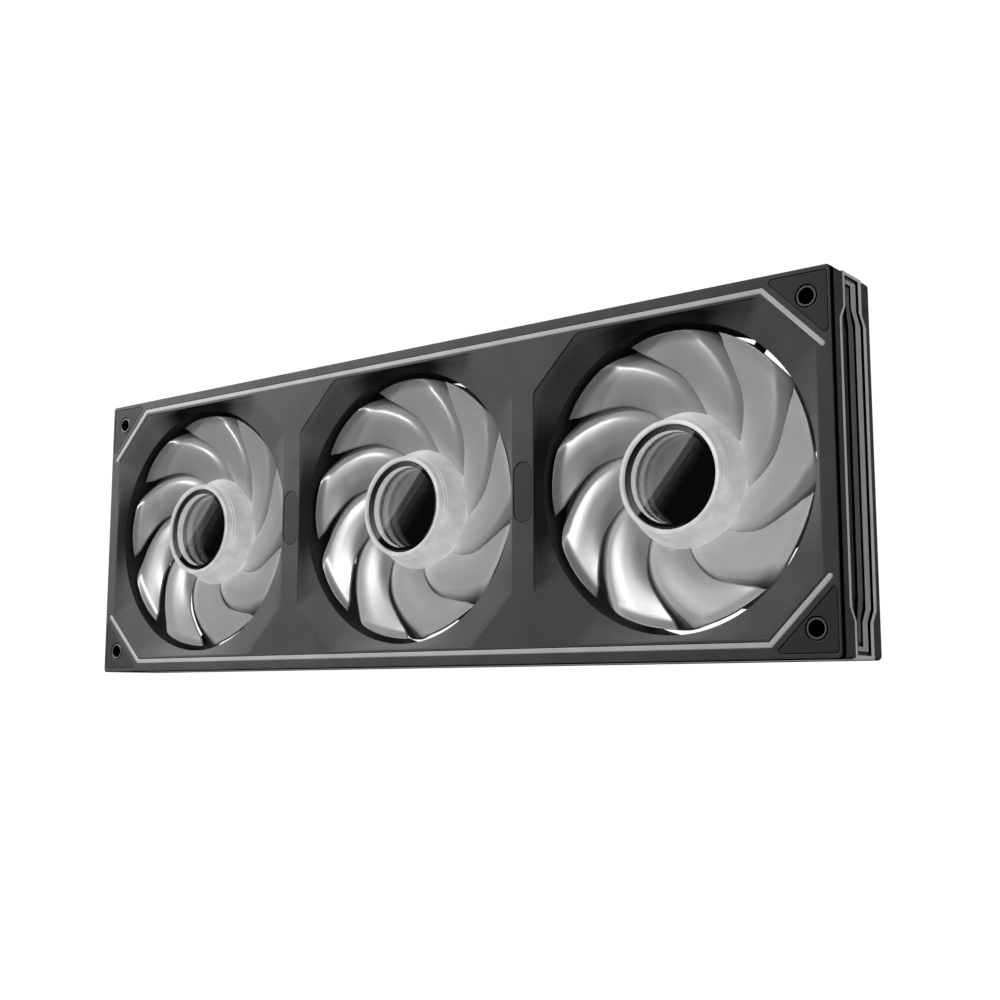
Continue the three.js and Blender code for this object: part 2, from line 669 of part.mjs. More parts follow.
place('end_rail', endPiece(mirroredOutline(END_RAIL), 0.1), 'dark_trim');
place('cable_socket', cableSocket(), 'socket');

export default part;
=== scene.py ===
import json
import math

import bmesh
import bpy
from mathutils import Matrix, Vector
from mathutils.geometry import delaunay_2d_cdt

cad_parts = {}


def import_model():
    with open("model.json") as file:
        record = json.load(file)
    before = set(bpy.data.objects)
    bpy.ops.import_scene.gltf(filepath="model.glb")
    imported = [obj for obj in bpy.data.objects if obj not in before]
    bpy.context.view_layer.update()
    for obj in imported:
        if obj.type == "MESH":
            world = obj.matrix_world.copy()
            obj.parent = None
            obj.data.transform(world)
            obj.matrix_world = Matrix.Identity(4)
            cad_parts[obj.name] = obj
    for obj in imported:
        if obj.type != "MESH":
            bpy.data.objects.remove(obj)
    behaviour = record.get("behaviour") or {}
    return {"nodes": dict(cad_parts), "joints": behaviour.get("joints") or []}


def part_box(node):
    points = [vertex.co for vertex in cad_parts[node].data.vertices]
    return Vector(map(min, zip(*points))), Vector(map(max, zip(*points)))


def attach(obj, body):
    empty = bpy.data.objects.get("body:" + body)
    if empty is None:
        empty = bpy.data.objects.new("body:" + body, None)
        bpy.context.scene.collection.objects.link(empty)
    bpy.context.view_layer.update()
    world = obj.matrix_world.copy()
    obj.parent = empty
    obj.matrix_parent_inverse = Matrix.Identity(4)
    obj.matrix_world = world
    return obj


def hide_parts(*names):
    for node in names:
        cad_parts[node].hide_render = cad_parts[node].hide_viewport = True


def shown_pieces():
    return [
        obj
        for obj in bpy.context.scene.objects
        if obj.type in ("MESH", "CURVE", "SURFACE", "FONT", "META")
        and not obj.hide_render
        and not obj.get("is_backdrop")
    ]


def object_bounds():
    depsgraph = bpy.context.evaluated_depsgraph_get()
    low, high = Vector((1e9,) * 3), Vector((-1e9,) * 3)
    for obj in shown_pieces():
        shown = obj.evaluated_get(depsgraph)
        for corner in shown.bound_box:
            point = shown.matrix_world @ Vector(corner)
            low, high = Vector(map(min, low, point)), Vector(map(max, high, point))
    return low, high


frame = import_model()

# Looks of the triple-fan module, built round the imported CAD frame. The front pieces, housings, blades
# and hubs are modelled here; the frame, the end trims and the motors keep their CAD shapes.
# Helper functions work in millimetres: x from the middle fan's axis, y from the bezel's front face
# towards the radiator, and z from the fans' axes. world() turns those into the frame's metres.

CAD_LOW, CAD_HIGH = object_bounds()
MM = 0.001
AXIS_Z = (CAD_LOW.z + CAD_HIGH.z) / 2
LENGTH, DEPTH, HEIGHT = (CAD_HIGH - CAD_LOW) / MM
FANS = {joint["child"]: joint["pos_m"][0] / MM for joint in frame["joints"]}
SIDES = (-1, 1)
LEVELS = {"lower": -1, "upper": 1}
ENDS = {"left": -1, "right": 1}


def world(x, y, z):
    return Vector((x * MM, CAD_LOW.y + y * MM, AXIS_Z + z * MM))


def local_box(node):
    """A CAD node's lowest and highest corner in the helpers' millimetres."""
    return [
        Vector((corner.x, corner.y - CAD_LOW.y, corner.z - AXIS_Z)) / MM
        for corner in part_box(node)
    ]


def lerp(a, b, t):
    return a + (b - a) * t


def smooth(t):
    t = min(max(t, 0), 1)
    return t * t * (3 - 2 * t)


# ---------------------------------------------------------------- mesh building

TRIANGLES_INSIDE = 1    # the triangulation's mode that leaves out everything beyond the outlines
SAME_POINT = 1e-5       # points closer than this, in mm, count as one


class Shell:
    """A mesh made from closed loops of points, the walls between them and the caps that fill them."""

    def __init__(self):
        self.mesh = bmesh.new()

    def loop(self, points, y):
        return [self.mesh.verts.new(world(x, y, z)) for x, z in points]

    def ring(self, radius, y, segments, x=0, z=0):
        turn = 2 * math.pi / segments
        angles = [i * turn for i in range(segments)]
        return self.loop([(x + radius * math.cos(a), z + radius * math.sin(a)) for a in angles], y)

    def walls(self, loops, material=0):
        for a, b in zip(loops, loops[1:]):
            for i in range(len(a)):
                face = self.mesh.faces.new((a[i - 1], a[i], b[i], b[i - 1]))
                face.material_index = material

    def cap(self, loops, material=0):
        """Fills the flat space between an outline and the loops inside it, which lie at one depth."""
        verts = [v for loop in loops for v in loop]
        flat = [v.co.xz / MM for v in verts]
        outlines, first = [], 0
        for loop in loops:
            corners = range(first, first + len(loop))
            first += len(loop)
            area = sum(flat[i].cross(flat[j]) for i, j in zip(corners, [*corners[1:], corners[0]]))
            outlines.append(list(corners if area > 0 else reversed(corners)))
        filled = delaunay_2d_cdt(flat, [], outlines, TRIANGLES_INSIDE, SAME_POINT)
        for corners, inside in zip(filled[2], filled[5]):
            if inside == [0]:
                face = self.mesh.faces.new([verts[filled[3][i][0]] for i in corners])
                face.material_index = material

    def lathe(self, profile, segments):
        """Turns a closed profile of (radius, y) points; a point on the axis closes that end."""
        rings = [self.ring(r, y, segments) for r, y in profile if r > 0]
        if profile[0][0] > 0:
            self.walls(rings + rings[:1])
            return
        self.walls(rings)
        for ring in (rings[0], rings[-1]):
            self.mesh.faces.new(ring)

    def finish(self, name, materials, sharp=35):
        bmesh.ops.recalc_face_normals(self.mesh, faces=self.mesh.faces)
        data = bpy.data.meshes.new(name)
        self.mesh.to_mesh(data)
        self.mesh.free()
        for face in data.polygons:
            face.use_smooth = True
        data.set_sharp_from_angle(angle=math.radians(sharp))
        for material in materials:
            data.materials.append(material)
        return data


def place(name, data, body, nodes=(), x=0):
    """Adds a mesh as a piece of the object, which rides on a body and stands for CAD nodes."""
    piece = bpy.data.objects.new(name, data)
    bpy.context.scene.collection.objects.link(piece)
    piece.location.x = x * MM
    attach(piece, body)
    if nodes:
        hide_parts(*nodes)
    flat = piece.modifiers.new("flat faces stay flat", "WEIGHTED_NORMAL")
    flat.keep_sharp = True
    return piece


def finish_cad(node, material, edge):
    """Rounds a CAD node's edges and gives it a material."""
    piece = frame["nodes"][node]
    piece.data.materials.clear()
    piece.data.materials.append(material)
    merge = piece.modifiers.new("merge flat triangles", "DECIMATE")
    merge.decimate_type = "DISSOLVE"
    merge.angle_limit = math.radians(1)
    bevel = piece.modifiers.new("round edges", "BEVEL")
    bevel.width = edge * MM
    bevel.segments = 2
    bevel.limit_method = "ANGLE"
    bevel.angle_limit = math.radians(25)
    bevel.harden_normals = False
    flat = piece.modifiers.new("flat faces stay flat", "WEIGHTED_NORMAL")
    flat.keep_sharp = True


# ---------------------------------------------------------------- outlines

ARC_STEPS = 8


def arc(x, z, radius, start, end, steps=ARC_STEPS):
    """Points of an arc between two angles in degrees."""
    angles = [math.radians(lerp(start, end, k / steps)) for k in range(steps + 1)]
    return [(x + radius * math.cos(a), z + radius * math.sin(a)) for a in angles]


def rounded_rectangle(x, width, height, radius, grow=0):
    w, h = width / 2 - radius, height / 2 - radius
    corners = [(x + w, h, 0), (x - w, h, 90), (x - w, -h, 180), (x + w, -h, 270)]
    return [p for cx, cz, start in corners for p in arc(cx, cz, radius + grow, start, start + 90)]


OCTAGON_HALF, OCTAGON_DIAGONAL, OCTAGON_CORNER = 55, 64.2, 5
FUNNEL_END = 3.1
DUCT_RADIUS = 53


def corner_angles():
    """Angles of a quarter's rounded corner, in degrees from the octagon's flat side."""
    centre_x = OCTAGON_HALF - OCTAGON_CORNER
    centre_z = math.sqrt(2) * (OCTAGON_DIAGONAL - OCTAGON_CORNER) - centre_x
    bevel = OCTAGON_CORNER * math.sqrt(0.5)
    return (
        math.degrees(math.atan2(centre_z, OCTAGON_HALF)),
        math.degrees(math.atan2(centre_z + bevel, centre_x + bevel)),
    )


def funnel_angles():
    """Angles all round, close together at the octagon's corners."""
    first, last = corner_angles()
    stops = [(-first, first, 24), (first, last, 8), (last, 90 - last, 10), (90 - last, 90 - first, 8)]
    quarter = [lerp(a, b, k / n) for a, b, n in stops for k in range(n)]
    return [math.radians(turn + angle) for turn in (0, 90, 180, 270) for angle in quarter]


FUNNEL_ANGLES = funnel_angles()


def octagon_radius(angle, grow):
    """Distance from a fan's axis to its octagonal opening."""
    half, diagonal, corner = OCTAGON_HALF + grow, OCTAGON_DIAGONAL + grow, OCTAGON_CORNER + grow
    quarter = angle % (math.pi / 2)
    a = min(quarter, math.pi / 2 - quarter)
    centre_x = half - corner
    centre_z = math.sqrt(2) * (diagonal - corner) - centre_x
    bevel = corner * math.sqrt(0.5)
    if a < math.atan2(centre_z, half):
        return half / math.cos(a)
    if a > math.atan2(centre_z + bevel, centre_x + bevel):
        return diagonal / math.cos(math.pi / 4 - a)
    along = centre_x * math.cos(a) + centre_z * math.sin(a)
    return along + math.sqrt(along**2 - centre_x**2 - centre_z**2 + corner**2)


def funnel_points(x, blend, grow=0):
    """The funnel's section: an octagon at blend 0 and the duct's circle at blend 1."""
    points = []
    for angle in FUNNEL_ANGLES:
        radius = lerp(octagon_radius(angle, grow), DUCT_RADIUS + grow, blend)
        points.append((x + radius * math.cos(angle), radius * math.sin(angle)))
    return points


STRIP_WIDTH, STRIP_Z, STRIP_BEND_X = 1.65, 57.1, 156.7
STRIP_END = (177.4, 36.5)


def strip_points(sign, grow=0):
    """A long bar with both ends bent 45 degrees."""
    half = STRIP_WIDTH / 2 + grow
    miter = half * math.tan(math.pi / 8)
    right = [(STRIP_BEND_X - miter, STRIP_Z - half)]
    right += arc(*STRIP_END, half, -135, 45)
    right += [(STRIP_BEND_X + miter, STRIP_Z + half)]
    left = [(-x, z) for x, z in reversed(right)]
    return [(x, z * sign) for x, z in right + left]


PAD_CORNER = 1


def pad_points(sign_x, sign_z, outer_x, outer_z, leg, grow=0):
    """A triangular corner pad with rounded corners."""
    near = PAD_CORNER
    reach = near * (1 + math.sqrt(2))
    corners = [
        (outer_x - near, outer_z - leg + reach, -135, 0),
        (outer_x - near, outer_z - near, 0, 90),
        (outer_x - leg + reach, outer_z - near, 90, 225),
    ]
    points = [p for x, z, start, end in corners for p in arc(x, z, near + grow, start, end)]
    return [(x * sign_x, z * sign_z) for x, z in points]


# ---------------------------------------------------------------- materials


SKIN = 0.4      # a face closer than this to the top or bottom of the object counts as lying on it
FACING = 0.6    # how much of a face's normal lies along x before it counts as an end face


class Nodes:
    """A material's node tree, with short ways to add and link nodes."""

    def __init__(self, name):
        self.material = bpy.data.materials.new(name)
        self.material.use_nodes = True
        self.tree = self.material.node_tree
        self.tree.nodes.clear()
        self.output = self.add("ShaderNodeOutputMaterial")
        source = self.add("ShaderNodeTexCoord")
        self.coordinates, self.normal = source.outputs["Object"], source.outputs["Normal"]

    def add(self, kind, values=(), **settings):
        node = self.tree.nodes.new(kind)
        for key, value in settings.items():
            setattr(node, key, value)
        for key, value in dict(values).items():
            if isinstance(value, bpy.types.NodeSocket):
                self.tree.links.new(value, node.inputs[key])
            else:
                node.inputs[key].default_value = value
        return node

    def noise(self, size_mm, detail=3):
        values = {"Vector": self.coordinates, "Scale": 1 / (size_mm * MM), "Detail": detail}
        return self.add("ShaderNodeTexNoise", values).outputs[0]

    def ramp(self, value, low, high):
        values = {"Value": value, "From Min": 0.3, "From Max": 0.7, "To Min": low, "To Max": high}
        return self.add("ShaderNodeMapRange", values).outputs[0]

    def bump(self, height, distance_mm, strength=1.0):
        values = {"Height": height, "Distance": distance_mm * MM, "Strength": strength}
        return self.add("ShaderNodeBump", values).outputs[0]

    def on_end_face(self):
        """1 on faces that look along x or lie on the object's top or bottom, and 0 in its grooves: the
        mask of the painted groove shade.
        """
        towards = self.add("ShaderNodeSeparateXYZ", {0: self.normal}).outputs["X"]
        height = self.add("ShaderNodeSeparateXYZ", {0: self.coordinates}).outputs["Z"]
        from_axis = self.add("ShaderNodeMath", {0: height, 1: AXIS_Z}, operation="SUBTRACT").outputs[0]
        across = self.add("ShaderNodeMath", {0: towards}, operation="ABSOLUTE").outputs[0]
        beyond = self.add("ShaderNodeMath", {0: from_axis}, operation="ABSOLUTE").outputs[0]
        reach = (HEIGHT / 2 - SKIN) * MM
        flat = self.add("ShaderNodeMath", {0: across, 1: FACING}, operation="GREATER_THAN").outputs[0]
        outer = self.add("ShaderNodeMath", {0: beyond, 1: reach}, operation="GREATER_THAN").outputs[0]
        return self.add("ShaderNodeMath", {0: flat, 1: outer}, operation="MAXIMUM").outputs[0]

    def grey(self, value):
        """A colour from a single value."""
        return self.add("ShaderNodeCombineColor", {"Red": value, "Green": value, "Blue": value}).outputs[0]

    def finish(self, shader):
        self.tree.links.new(shader, self.output.inputs["Surface"])
        return self.material


def plastic(
    name, grey, roughness, grain=0.25, depth=0.01, specular=0.4, glow=0.0, painted_groove_shade=False,
):
    """Moulded plastic or rubber: a fine grain, with slightly uneven colour and sheen.

    A light guide also glows, and the end's trims have painted shade: black walls between their pale faces.
    """
    n = Nodes(name)
    cloud = n.noise(12, 4)
    fine = n.noise(grain, 2)
    level = n.ramp(cloud, grey * 0.92, grey * 1.08)
    if painted_groove_shade:
        # painted shade: the walls of the end's grooves go black
        level = n.add("ShaderNodeMath", {0: level, 1: n.on_end_face()}, operation="MULTIPLY").outputs[0]
    colour = n.grey(level)
    shader = n.add("ShaderNodeBsdfPrincipled", {
        "Base Color": colour,
        "Roughness": n.ramp(fine, roughness - 0.06, roughness + 0.06),
        "Specular IOR Level": specular,
        "Normal": n.bump(fine, depth),
        "Emission Color": colour,
        "Emission Strength": glow,
    })
    return n.finish(shader.outputs[0])


# painted light: a band of extra glow on each blade, for slopes that face away from the lamps
PAINTED_BAND_RISE, PAINTED_BAND_FALL = (0.42, 0.58), (0.6, 0.74)    # shares of the chord where a blade's glow turns


def frosted(name, grey, glow, see_through=0.15, gloss=1.0, band=0.0, uneven=0.06):
    """Frosted clear plastic that lets some light through and glows a little from the lamps inside.

    A blade's painted light: it glows more in a band before the edge that slips under the next blade.
    """
    n = Nodes(name)
    cloud = n.noise(7, 4)
    fine = n.noise(0.35, 2)
    colour = n.grey(n.ramp(cloud, grey * (1 - uneven), grey))
    normal = n.bump(fine, 0.01)
    along = n.add("ShaderNodeAttribute", attribute_name="along").outputs["Fac"]
    ramps = [
        n.add("ShaderNodeMapRange", {
            "Value": along, "From Min": low, "From Max": high, "To Min": start, "To Max": stop
        }, interpolation_type="SMOOTHSTEP").outputs[0]
        for low, high, start, stop in ((*PAINTED_BAND_RISE, 0, band), (*PAINTED_BAND_FALL, 1, 0))
    ]
    # painted light: the band's extra glow, standing in for light on slopes that face away from the lamps
    under = n.add("ShaderNodeMath", {0: ramps[0], 1: ramps[1]}, operation="MULTIPLY").outputs[0]
    even = n.ramp(fine, glow * 0.85, glow * 1.15)
    level = n.add("ShaderNodeMath", {0: even, 1: under}, operation="ADD")
    surface = n.add("ShaderNodeBsdfPrincipled", {
        "Base Color": colour,
        "Roughness": n.ramp(fine, 0.29, 0.37),
        "Specular IOR Level": gloss,
        "Normal": normal,
        "Emission Color": colour,
        "Emission Strength": level.outputs[0],
    })
    through = n.add("ShaderNodeBsdfTranslucent", {"Color": colour, "Normal": normal})
    mixed = n.add("ShaderNodeMixShader", {0: see_through, 1: surface.outputs[0], 2: through.outputs[0]})
    return n.finish(mixed.outputs[0])


def half_mirror(name, reflected, tint):
    """Smoked glass that reflects part of the light and lets the rest through."""
    n = Nodes(name)
    haze = n.noise(6, 2)
    clear = n.add("ShaderNodeBsdfTransparent", {"Color": n.grey(n.ramp(haze, tint * 0.98, tint))})
    gloss = n.add("ShaderNodeBsdfGlossy", {"Color": (1, 1, 1, 1), "Roughness": 0.0})
    mixed = n.add("ShaderNodeMixShader", {0: reflected, 1: clear.outputs[0], 2: gloss.outputs[0]})
    return n.finish(mixed.outputs[0])


def metal(name, grey, roughness, tint=(1, 1, 1)):
    n = Nodes(name)
    fine = n.noise(0.5, 3)
    value = n.ramp(fine, grey * 0.94, grey)
    ends = {0: value, 6: (0, 0, 0, 1), 7: (*tint, 1)}
    colour = n.add("ShaderNodeMix", ends, data_type="RGBA")
    shader = n.add("ShaderNodeBsdfPrincipled", {
        "Base Color": colour.outputs[2],
        "Metallic": 1.0,
        "Roughness": n.ramp(fine, roughness - 0.03, roughness + 0.03),
        "Normal": n.bump(fine, 0.004),
    })
    return n.finish(shader.outputs[0])


def mirror(name, grey):
    n = Nodes(name)
    haze = n.noise(5, 2)
    colour = n.grey(n.ramp(haze, grey * 0.98, grey))
    return n.finish(n.add("ShaderNodeBsdfGlossy", {"Color": colour, "Roughness": 0.0}).outputs[0])


def glowing(name, grey, strength):
    """The diffuser of the ring light, with faint unevenness."""
    n = Nodes(name)
    cloud = n.noise(9, 3)
    level = n.ramp(cloud, strength * 0.85, strength)
    shader = n.add("ShaderNodeBsdfPrincipled", {
        "Base Color": (grey, grey, grey, 1),
        "Roughness": 0.5,
        "Emission Color": (1, 1, 1, 1),
        "Emission Strength": level,
    })
    return n.finish(shader.outputs[0])


SHELL = plastic("shell", 0.06, 0.55, depth=0.006, specular=0.2)
SHELL_EDGE = plastic("shell_edge", 0.004, 0.6, specular=0.05)
FRAME = plastic("frame", 0.1, 0.5, specular=0.2)
HOUSING = plastic("housing", 0.04, 0.5, specular=0.2)
LIGHT_STRIP = plastic("light_strip", 0.15, 0.4, grain=0.15, depth=0.004, glow=1.6)
# painted shade: the trims, rib, dark strip and rail below get black groove walls
END_TRIM = plastic("end_trim", 0.15, 0.4, grain=0.15, depth=0.004, glow=1.6, painted_groove_shade=True)
RIB = plastic("rib", 0.13, 0.45, grain=0.15, depth=0.004, glow=1.2, painted_groove_shade=True)
DARK_TRIM = plastic("dark_trim", 0.2, 0.5, grain=0.2, specular=0.2, painted_groove_shade=True)
RAIL = plastic("rail", 0.06, 0.5, grain=0.2, specular=0.2, painted_groove_shade=True)
OVAL = plastic("oval", 0.045, 0.5, grain=0.2, specular=0.2)
PAD = plastic("pad", 0.042, 0.75, grain=0.3, depth=0.02, specular=0.15)
SLEEVE = plastic("sleeve", 0.11, 0.4)
SOCKET = plastic("socket", 0.012, 0.4)
BOARD = plastic("board", 0.03, 0.5)
FROSTED_BLADE = frosted("frosted_blade", 0.35, 0.02, band=0.2, see_through=0.05)
FROSTED_HUB = frosted("frosted_hub", 0.55, 0.6, gloss=0.3, uneven=0.25)
GLASS = half_mirror("glass", 0.35, 0.9)
MASK = plastic("mask", 0.002, 0.8, specular=0.05)
LIT_BAND = glowing("lit_band", 0.8, 0.9)
MIRROR = mirror("mirror", 0.85)
MAGNET = plastic("magnet", 0.05, 0.6)
STEEL = metal("steel", 0.6, 0.25)
STATOR = metal("stator", 0.4, 0.4)
BRONZE = metal("bronze", 0.5, 0.35, (1, 0.78, 0.5))


# ---------------------------------------------------------------- bezel and its inlays

CORNER_RADIUS = 1.5
BEZEL_THICKNESS = 2.3
WALL = 2.2
INLAY_GAP = 0.12
EDGE = 0.3            # rounding of the bezel's outer edge and of the octagons' lips
INLAY_EDGE = 0.15     # rounding of the edges round the inlays
SCREW_X, SCREW_Z = 172.5, 52.5
SCREW_CLEARANCE = 3.75
SLEEVE_BORE, SLEEVE_OUTER = 2.7, 3.4
FRONT_PAD = (179.7, 60, 21.4)
REAR_PAD = (177.4, 58.2, 19.9)
OVAL_X, OVAL_WIDTH, OVAL_HEIGHT = 60, 8, 22
HOLE_SEGMENTS = 48


def oval_points(sign, grow=0):
    return rounded_rectangle(OVAL_X * sign, OVAL_WIDTH, OVAL_HEIGHT, OVAL_WIDTH / 2, grow)


def rounded_loops(shell, outline, y, grow, edge, into):
    """Loops of a rounded edge that turns from a face at depth y into a wall; into is +1 or -1."""
    steps = [math.radians(a) for a in (0, 30, 60, 90)]
    return [
        shell.loop(outline(grow + into * edge * (1 - math.sin(a))), y + edge * (1 - math.cos(a)))
        for a in steps
    ]


def bezel():
    shell = Shell()
    outer = lambda grow: rounded_rectangle(0, LENGTH, HEIGHT, CORNER_RADIUS, grow)
    rim = rounded_loops(shell, outer, 0, 0, EDGE, -1)
    back = shell.loop(outer(0), BEZEL_THICKNESS)
    inset = 2 * (WALL + 0.3)
    backing = [
        shell.loop(rounded_rectangle(0, LENGTH - inset, HEIGHT - inset, CORNER_RADIUS), y)
        for y in (BEZEL_THICKNESS, FUNNEL_END)
    ]
    shell.walls(rim)
    shell.walls([rim[-1], back, *backing], 1)
    front_loops, back_loops = [rim[0]], [backing[-1]]
    for x in FANS.values():
        octagon = lambda grow: funnel_points(x, 0, grow)
        lip = rounded_loops(shell, octagon, 0, 0, EDGE, 1)
        depths = [lerp(EDGE * 1.2, FUNNEL_END, k / 5) for k in range(6)]
        funnel = [shell.loop(funnel_points(x, y / FUNNEL_END), y) for y in depths]
        shell.walls([*lip[:-1], *funnel])
        front_loops.append(lip[0])
        back_loops.append(funnel[-1])
    for sign in SIDES:
        strip = lambda grow: strip_points(sign, grow)
        oval = lambda grow: oval_points(sign, grow)
        for outline, depth in ((strip, 1.14), (oval, 1.3)):
            recess = rounded_loops(shell, outline, 0, INLAY_GAP, INLAY_EDGE, 1)
            recess.append(shell.loop(outline(INLAY_GAP), depth))
            shell.walls(recess)
            shell.cap([recess[-1]])
            front_loops.append(recess[0])
        for sign_x in SIDES:
            pad = lambda grow: pad_points(sign_x, sign, *FRONT_PAD, grow)
            recess = rounded_loops(shell, pad, 0, INLAY_GAP, INLAY_EDGE, 1)
            recess.append(shell.loop(pad(INLAY_GAP), 1.4))
            shell.walls(recess)
            hole = [
                shell.ring(SCREW_CLEARANCE, y, HOLE_SEGMENTS, SCREW_X * sign_x, SCREW_Z * sign)
                for y in (1.4, FUNNEL_END)
            ]
            shell.walls(hole)
            shell.cap([recess[-1], hole[0]])
            front_loops.append(recess[0])
            back_loops.append(hole[1])
    shell.cap(front_loops)
    shell.cap(back_loops)
    place("bezel", shell.finish("bezel", [SHELL, SHELL_EDGE]), "frame", ["front_bezel"])


def plate(name, outline, low, high, edge, material, node, hole=None):
    """A flat plate with rounded front edges, from an outline that can grow."""
    shell = Shell()
    front = rounded_loops(shell, outline, low, 0, edge, -1)
    back = shell.loop(outline(0), high)
    shell.walls([*front, back])
    caps = [front[0]], [back]
    if hole:
        x, z, radius = hole
        section = [(radius + edge, low), (radius, low + edge), (radius, high)]
        rings = [shell.ring(r, y, HOLE_SEGMENTS, x, z) for r, y in section]
        shell.walls(rings)
        caps[0].append(rings[0])
        caps[1].append(rings[-1])
    shell.cap(caps[0])
    shell.cap(caps[1])
    place(name, shell.finish(name, [material]), "frame", [node])


def inlays():
    for level, sign in LEVELS.items():
        low, high = local_box(f"front_strip_{level}")
        outline = lambda grow: strip_points(sign, grow)
        node = f"front_strip_{level}"
        plate(f"strip_{level}", outline, low.y, high.y, 0.2, LIGHT_STRIP, node)
        for end, sign_x in ENDS.items():
            hole = (SCREW_X * sign_x, SCREW_Z * sign, SCREW_CLEARANCE)
            for side, size in (("front", FRONT_PAD), ("rear", REAR_PAD)):
                node = f"{side}_pad_{level}_{end}"
                low, high = local_box(node)
                outline = lambda grow: pad_points(sign_x, sign, *size, grow)
                name = f"{side}_rubber_{level}_{end}"
                plate(name, outline, low.y, high.y, 0.25, PAD, node, hole)
            sleeve(f"{level}_{end}", hole[0], hole[1])
    for end, sign in ENDS.items():
        low, high = local_box(f"oval_plate_{end}")
        outline = lambda grow: oval_points(sign, grow)
        plate(f"oval_{end}", outline, low.y, high.y, 0.2, OVAL, f"oval_plate_{end}")


def sleeve(name, x, z):
    """A metal-coloured collar with its bore painted black as shade."""
    low, high = local_box(f"screw_sleeve_{name}")
    inner, outer, edge = SLEEVE_BORE, SLEEVE_OUTER, 0.15
    collar = [
        (inner, low.y + edge), (inner + edge, low.y), (outer - edge, low.y), (outer, low.y + edge),
        (outer, high.y - edge), (outer - edge, high.y), (inner + edge, high.y), (inner, high.y - edge),
    ]
    shell = Shell()
    rings = [shell.ring(r, y, HOLE_SEGMENTS, x, z) for r, y in collar]
    shell.walls(rings)
    # painted shade: the bore's wall is near black
    shell.walls([rings[-1], rings[0]], 1)
    mesh = shell.finish("sleeve", [SLEEVE, SOCKET])
    place(f"sleeve_{name}", mesh, "frame", [f"screw_sleeve_{name}"])


# ---------------------------------------------------------------- housings

HOUSING_START = 3.3
BODY_END = DEPTH - 0.2
FAN_PITCH = 120
SEAM = 0.15
CUP_RADIUS = 22.5
STRUT_SIDEWAYS = 9
STRUT_HALF = 1.9
STRUT_Y = (25.2, 28.8)


def housing(name, x):
    """A square housing with a round duct, and recesses for the rear pads in the end housings."""
    reach = LENGTH / 2 - WALL - 2 * SEAM
    half = FAN_PITCH / 2
    x0, x1 = {
        "left": (-reach, -half - SEAM),
        "middle": (SEAM - half, half - SEAM),
        "right": (half + SEAM, reach),
    }[name]
    height = HEIGHT - 2 * (WALL + 2 * SEAM)
    outline = lambda grow: rounded_rectangle((x0 + x1) / 2, x1 - x0, height, 1, grow)
    shell = Shell()
    front = shell.loop(outline(0), HOUSING_START)
    rear = [shell.loop(outline(grow), y) for grow, y in ((0, BODY_END - 0.3), (-0.3, BODY_END))]
    shell.walls([front, *rear])
    section = [
        (0.25, HOUSING_START), (0, HOUSING_START + 0.25), (0, 14), (0, BODY_END - 0.4), (0.4, BODY_END),
    ]
    duct = [shell.loop(funnel_points(x, 1, grow), y) for grow, y in section]
    shell.walls(duct)
    caps = [front, duct[0]], [rear[-1], duct[-1]]
    sign_x = ENDS.get(name)
    for sign in SIDES if sign_x else ():
        pad = lambda grow: pad_points(sign_x, sign, *REAR_PAD, grow)
        floor = DEPTH - 1.2
        recess = [shell.loop(pad(INLAY_GAP), y) for y in (BODY_END, floor)]
        shell.walls(recess)
        hole = [
            shell.ring(SCREW_CLEARANCE, y, HOLE_SEGMENTS, SCREW_X * sign_x, SCREW_Z * sign)
            for y in (HOUSING_START, floor)
        ]
        shell.walls(hole)
        shell.cap([recess[-1], hole[1]])
        caps[0].append(hole[0])
        caps[1].append(recess[0])
    shell.cap(caps[0])
    shell.cap(caps[1])
    mesh = shell.finish("duct", [HOUSING])
    body = place(f"duct_{name}", mesh, "frame", [f"fan_housing_{name}"])
    if name == "left":
        carve_socket(body)
    place(f"motor_mount_{name}", motor_mount(), "frame", x=x)


def carve_socket(body):
    """Cuts the slot that the cable socket sits in."""
    low, high = local_box("cable_socket")
    cutter = bpy.data.meshes.new("slot")
    block = bmesh.new()
    bmesh.ops.create_cube(block, size=1)
    margin = Vector((0.3, 0.3, 0.3))
    a, b = world(*(low - margin)), world(*(high + margin))
    for v in block.verts:
        v.co = Vector([lerp(a[i], b[i], v.co[i] + 0.5) for i in range(3)])
    block.to_mesh(cutter)
    block.free()
    tool = bpy.data.objects.new("slot", cutter)
    bpy.context.scene.collection.objects.link(tool)
    cut = body.modifiers.new("slot", "BOOLEAN")
    cut.object = tool
    cut.solver = "EXACT"
    bpy.context.view_layer.update()
    made = bpy.data.meshes.new_from_object(body.evaluated_get(bpy.context.evaluated_depsgraph_get()))
    body.modifiers.remove(cut)
    body.data = made
    bpy.data.objects.remove(tool)


def motor_mount():
    """The cup behind the motor and the four struts that carry it."""
    shell = Shell()
    back, front, floor = BODY_END - 0.3, 25.4, 26.6
    lip = CUP_RADIUS - 1.5
    shell.lathe([
        (0, back - 0.5), (17, back - 0.5), (17.4, back), (CUP_RADIUS - 0.6, back),
        (CUP_RADIUS - 0.2, back - 0.2), (CUP_RADIUS, back - 0.6), (CUP_RADIUS, front + 0.3),
        (CUP_RADIUS - 0.3, front), (lip + 0.3, front),
        (lip, front + 0.3), (lip, floor), (4.6, floor), (4.6, 10.6), (3.2, 10.6), (3.2, 26.2), (0, 26.2),
    ], 96)
    for k in range(4):
        strut(shell, (k + 0.4) / 4 * 2 * math.pi)
    return shell.finish("motor_mount", [HOUSING])


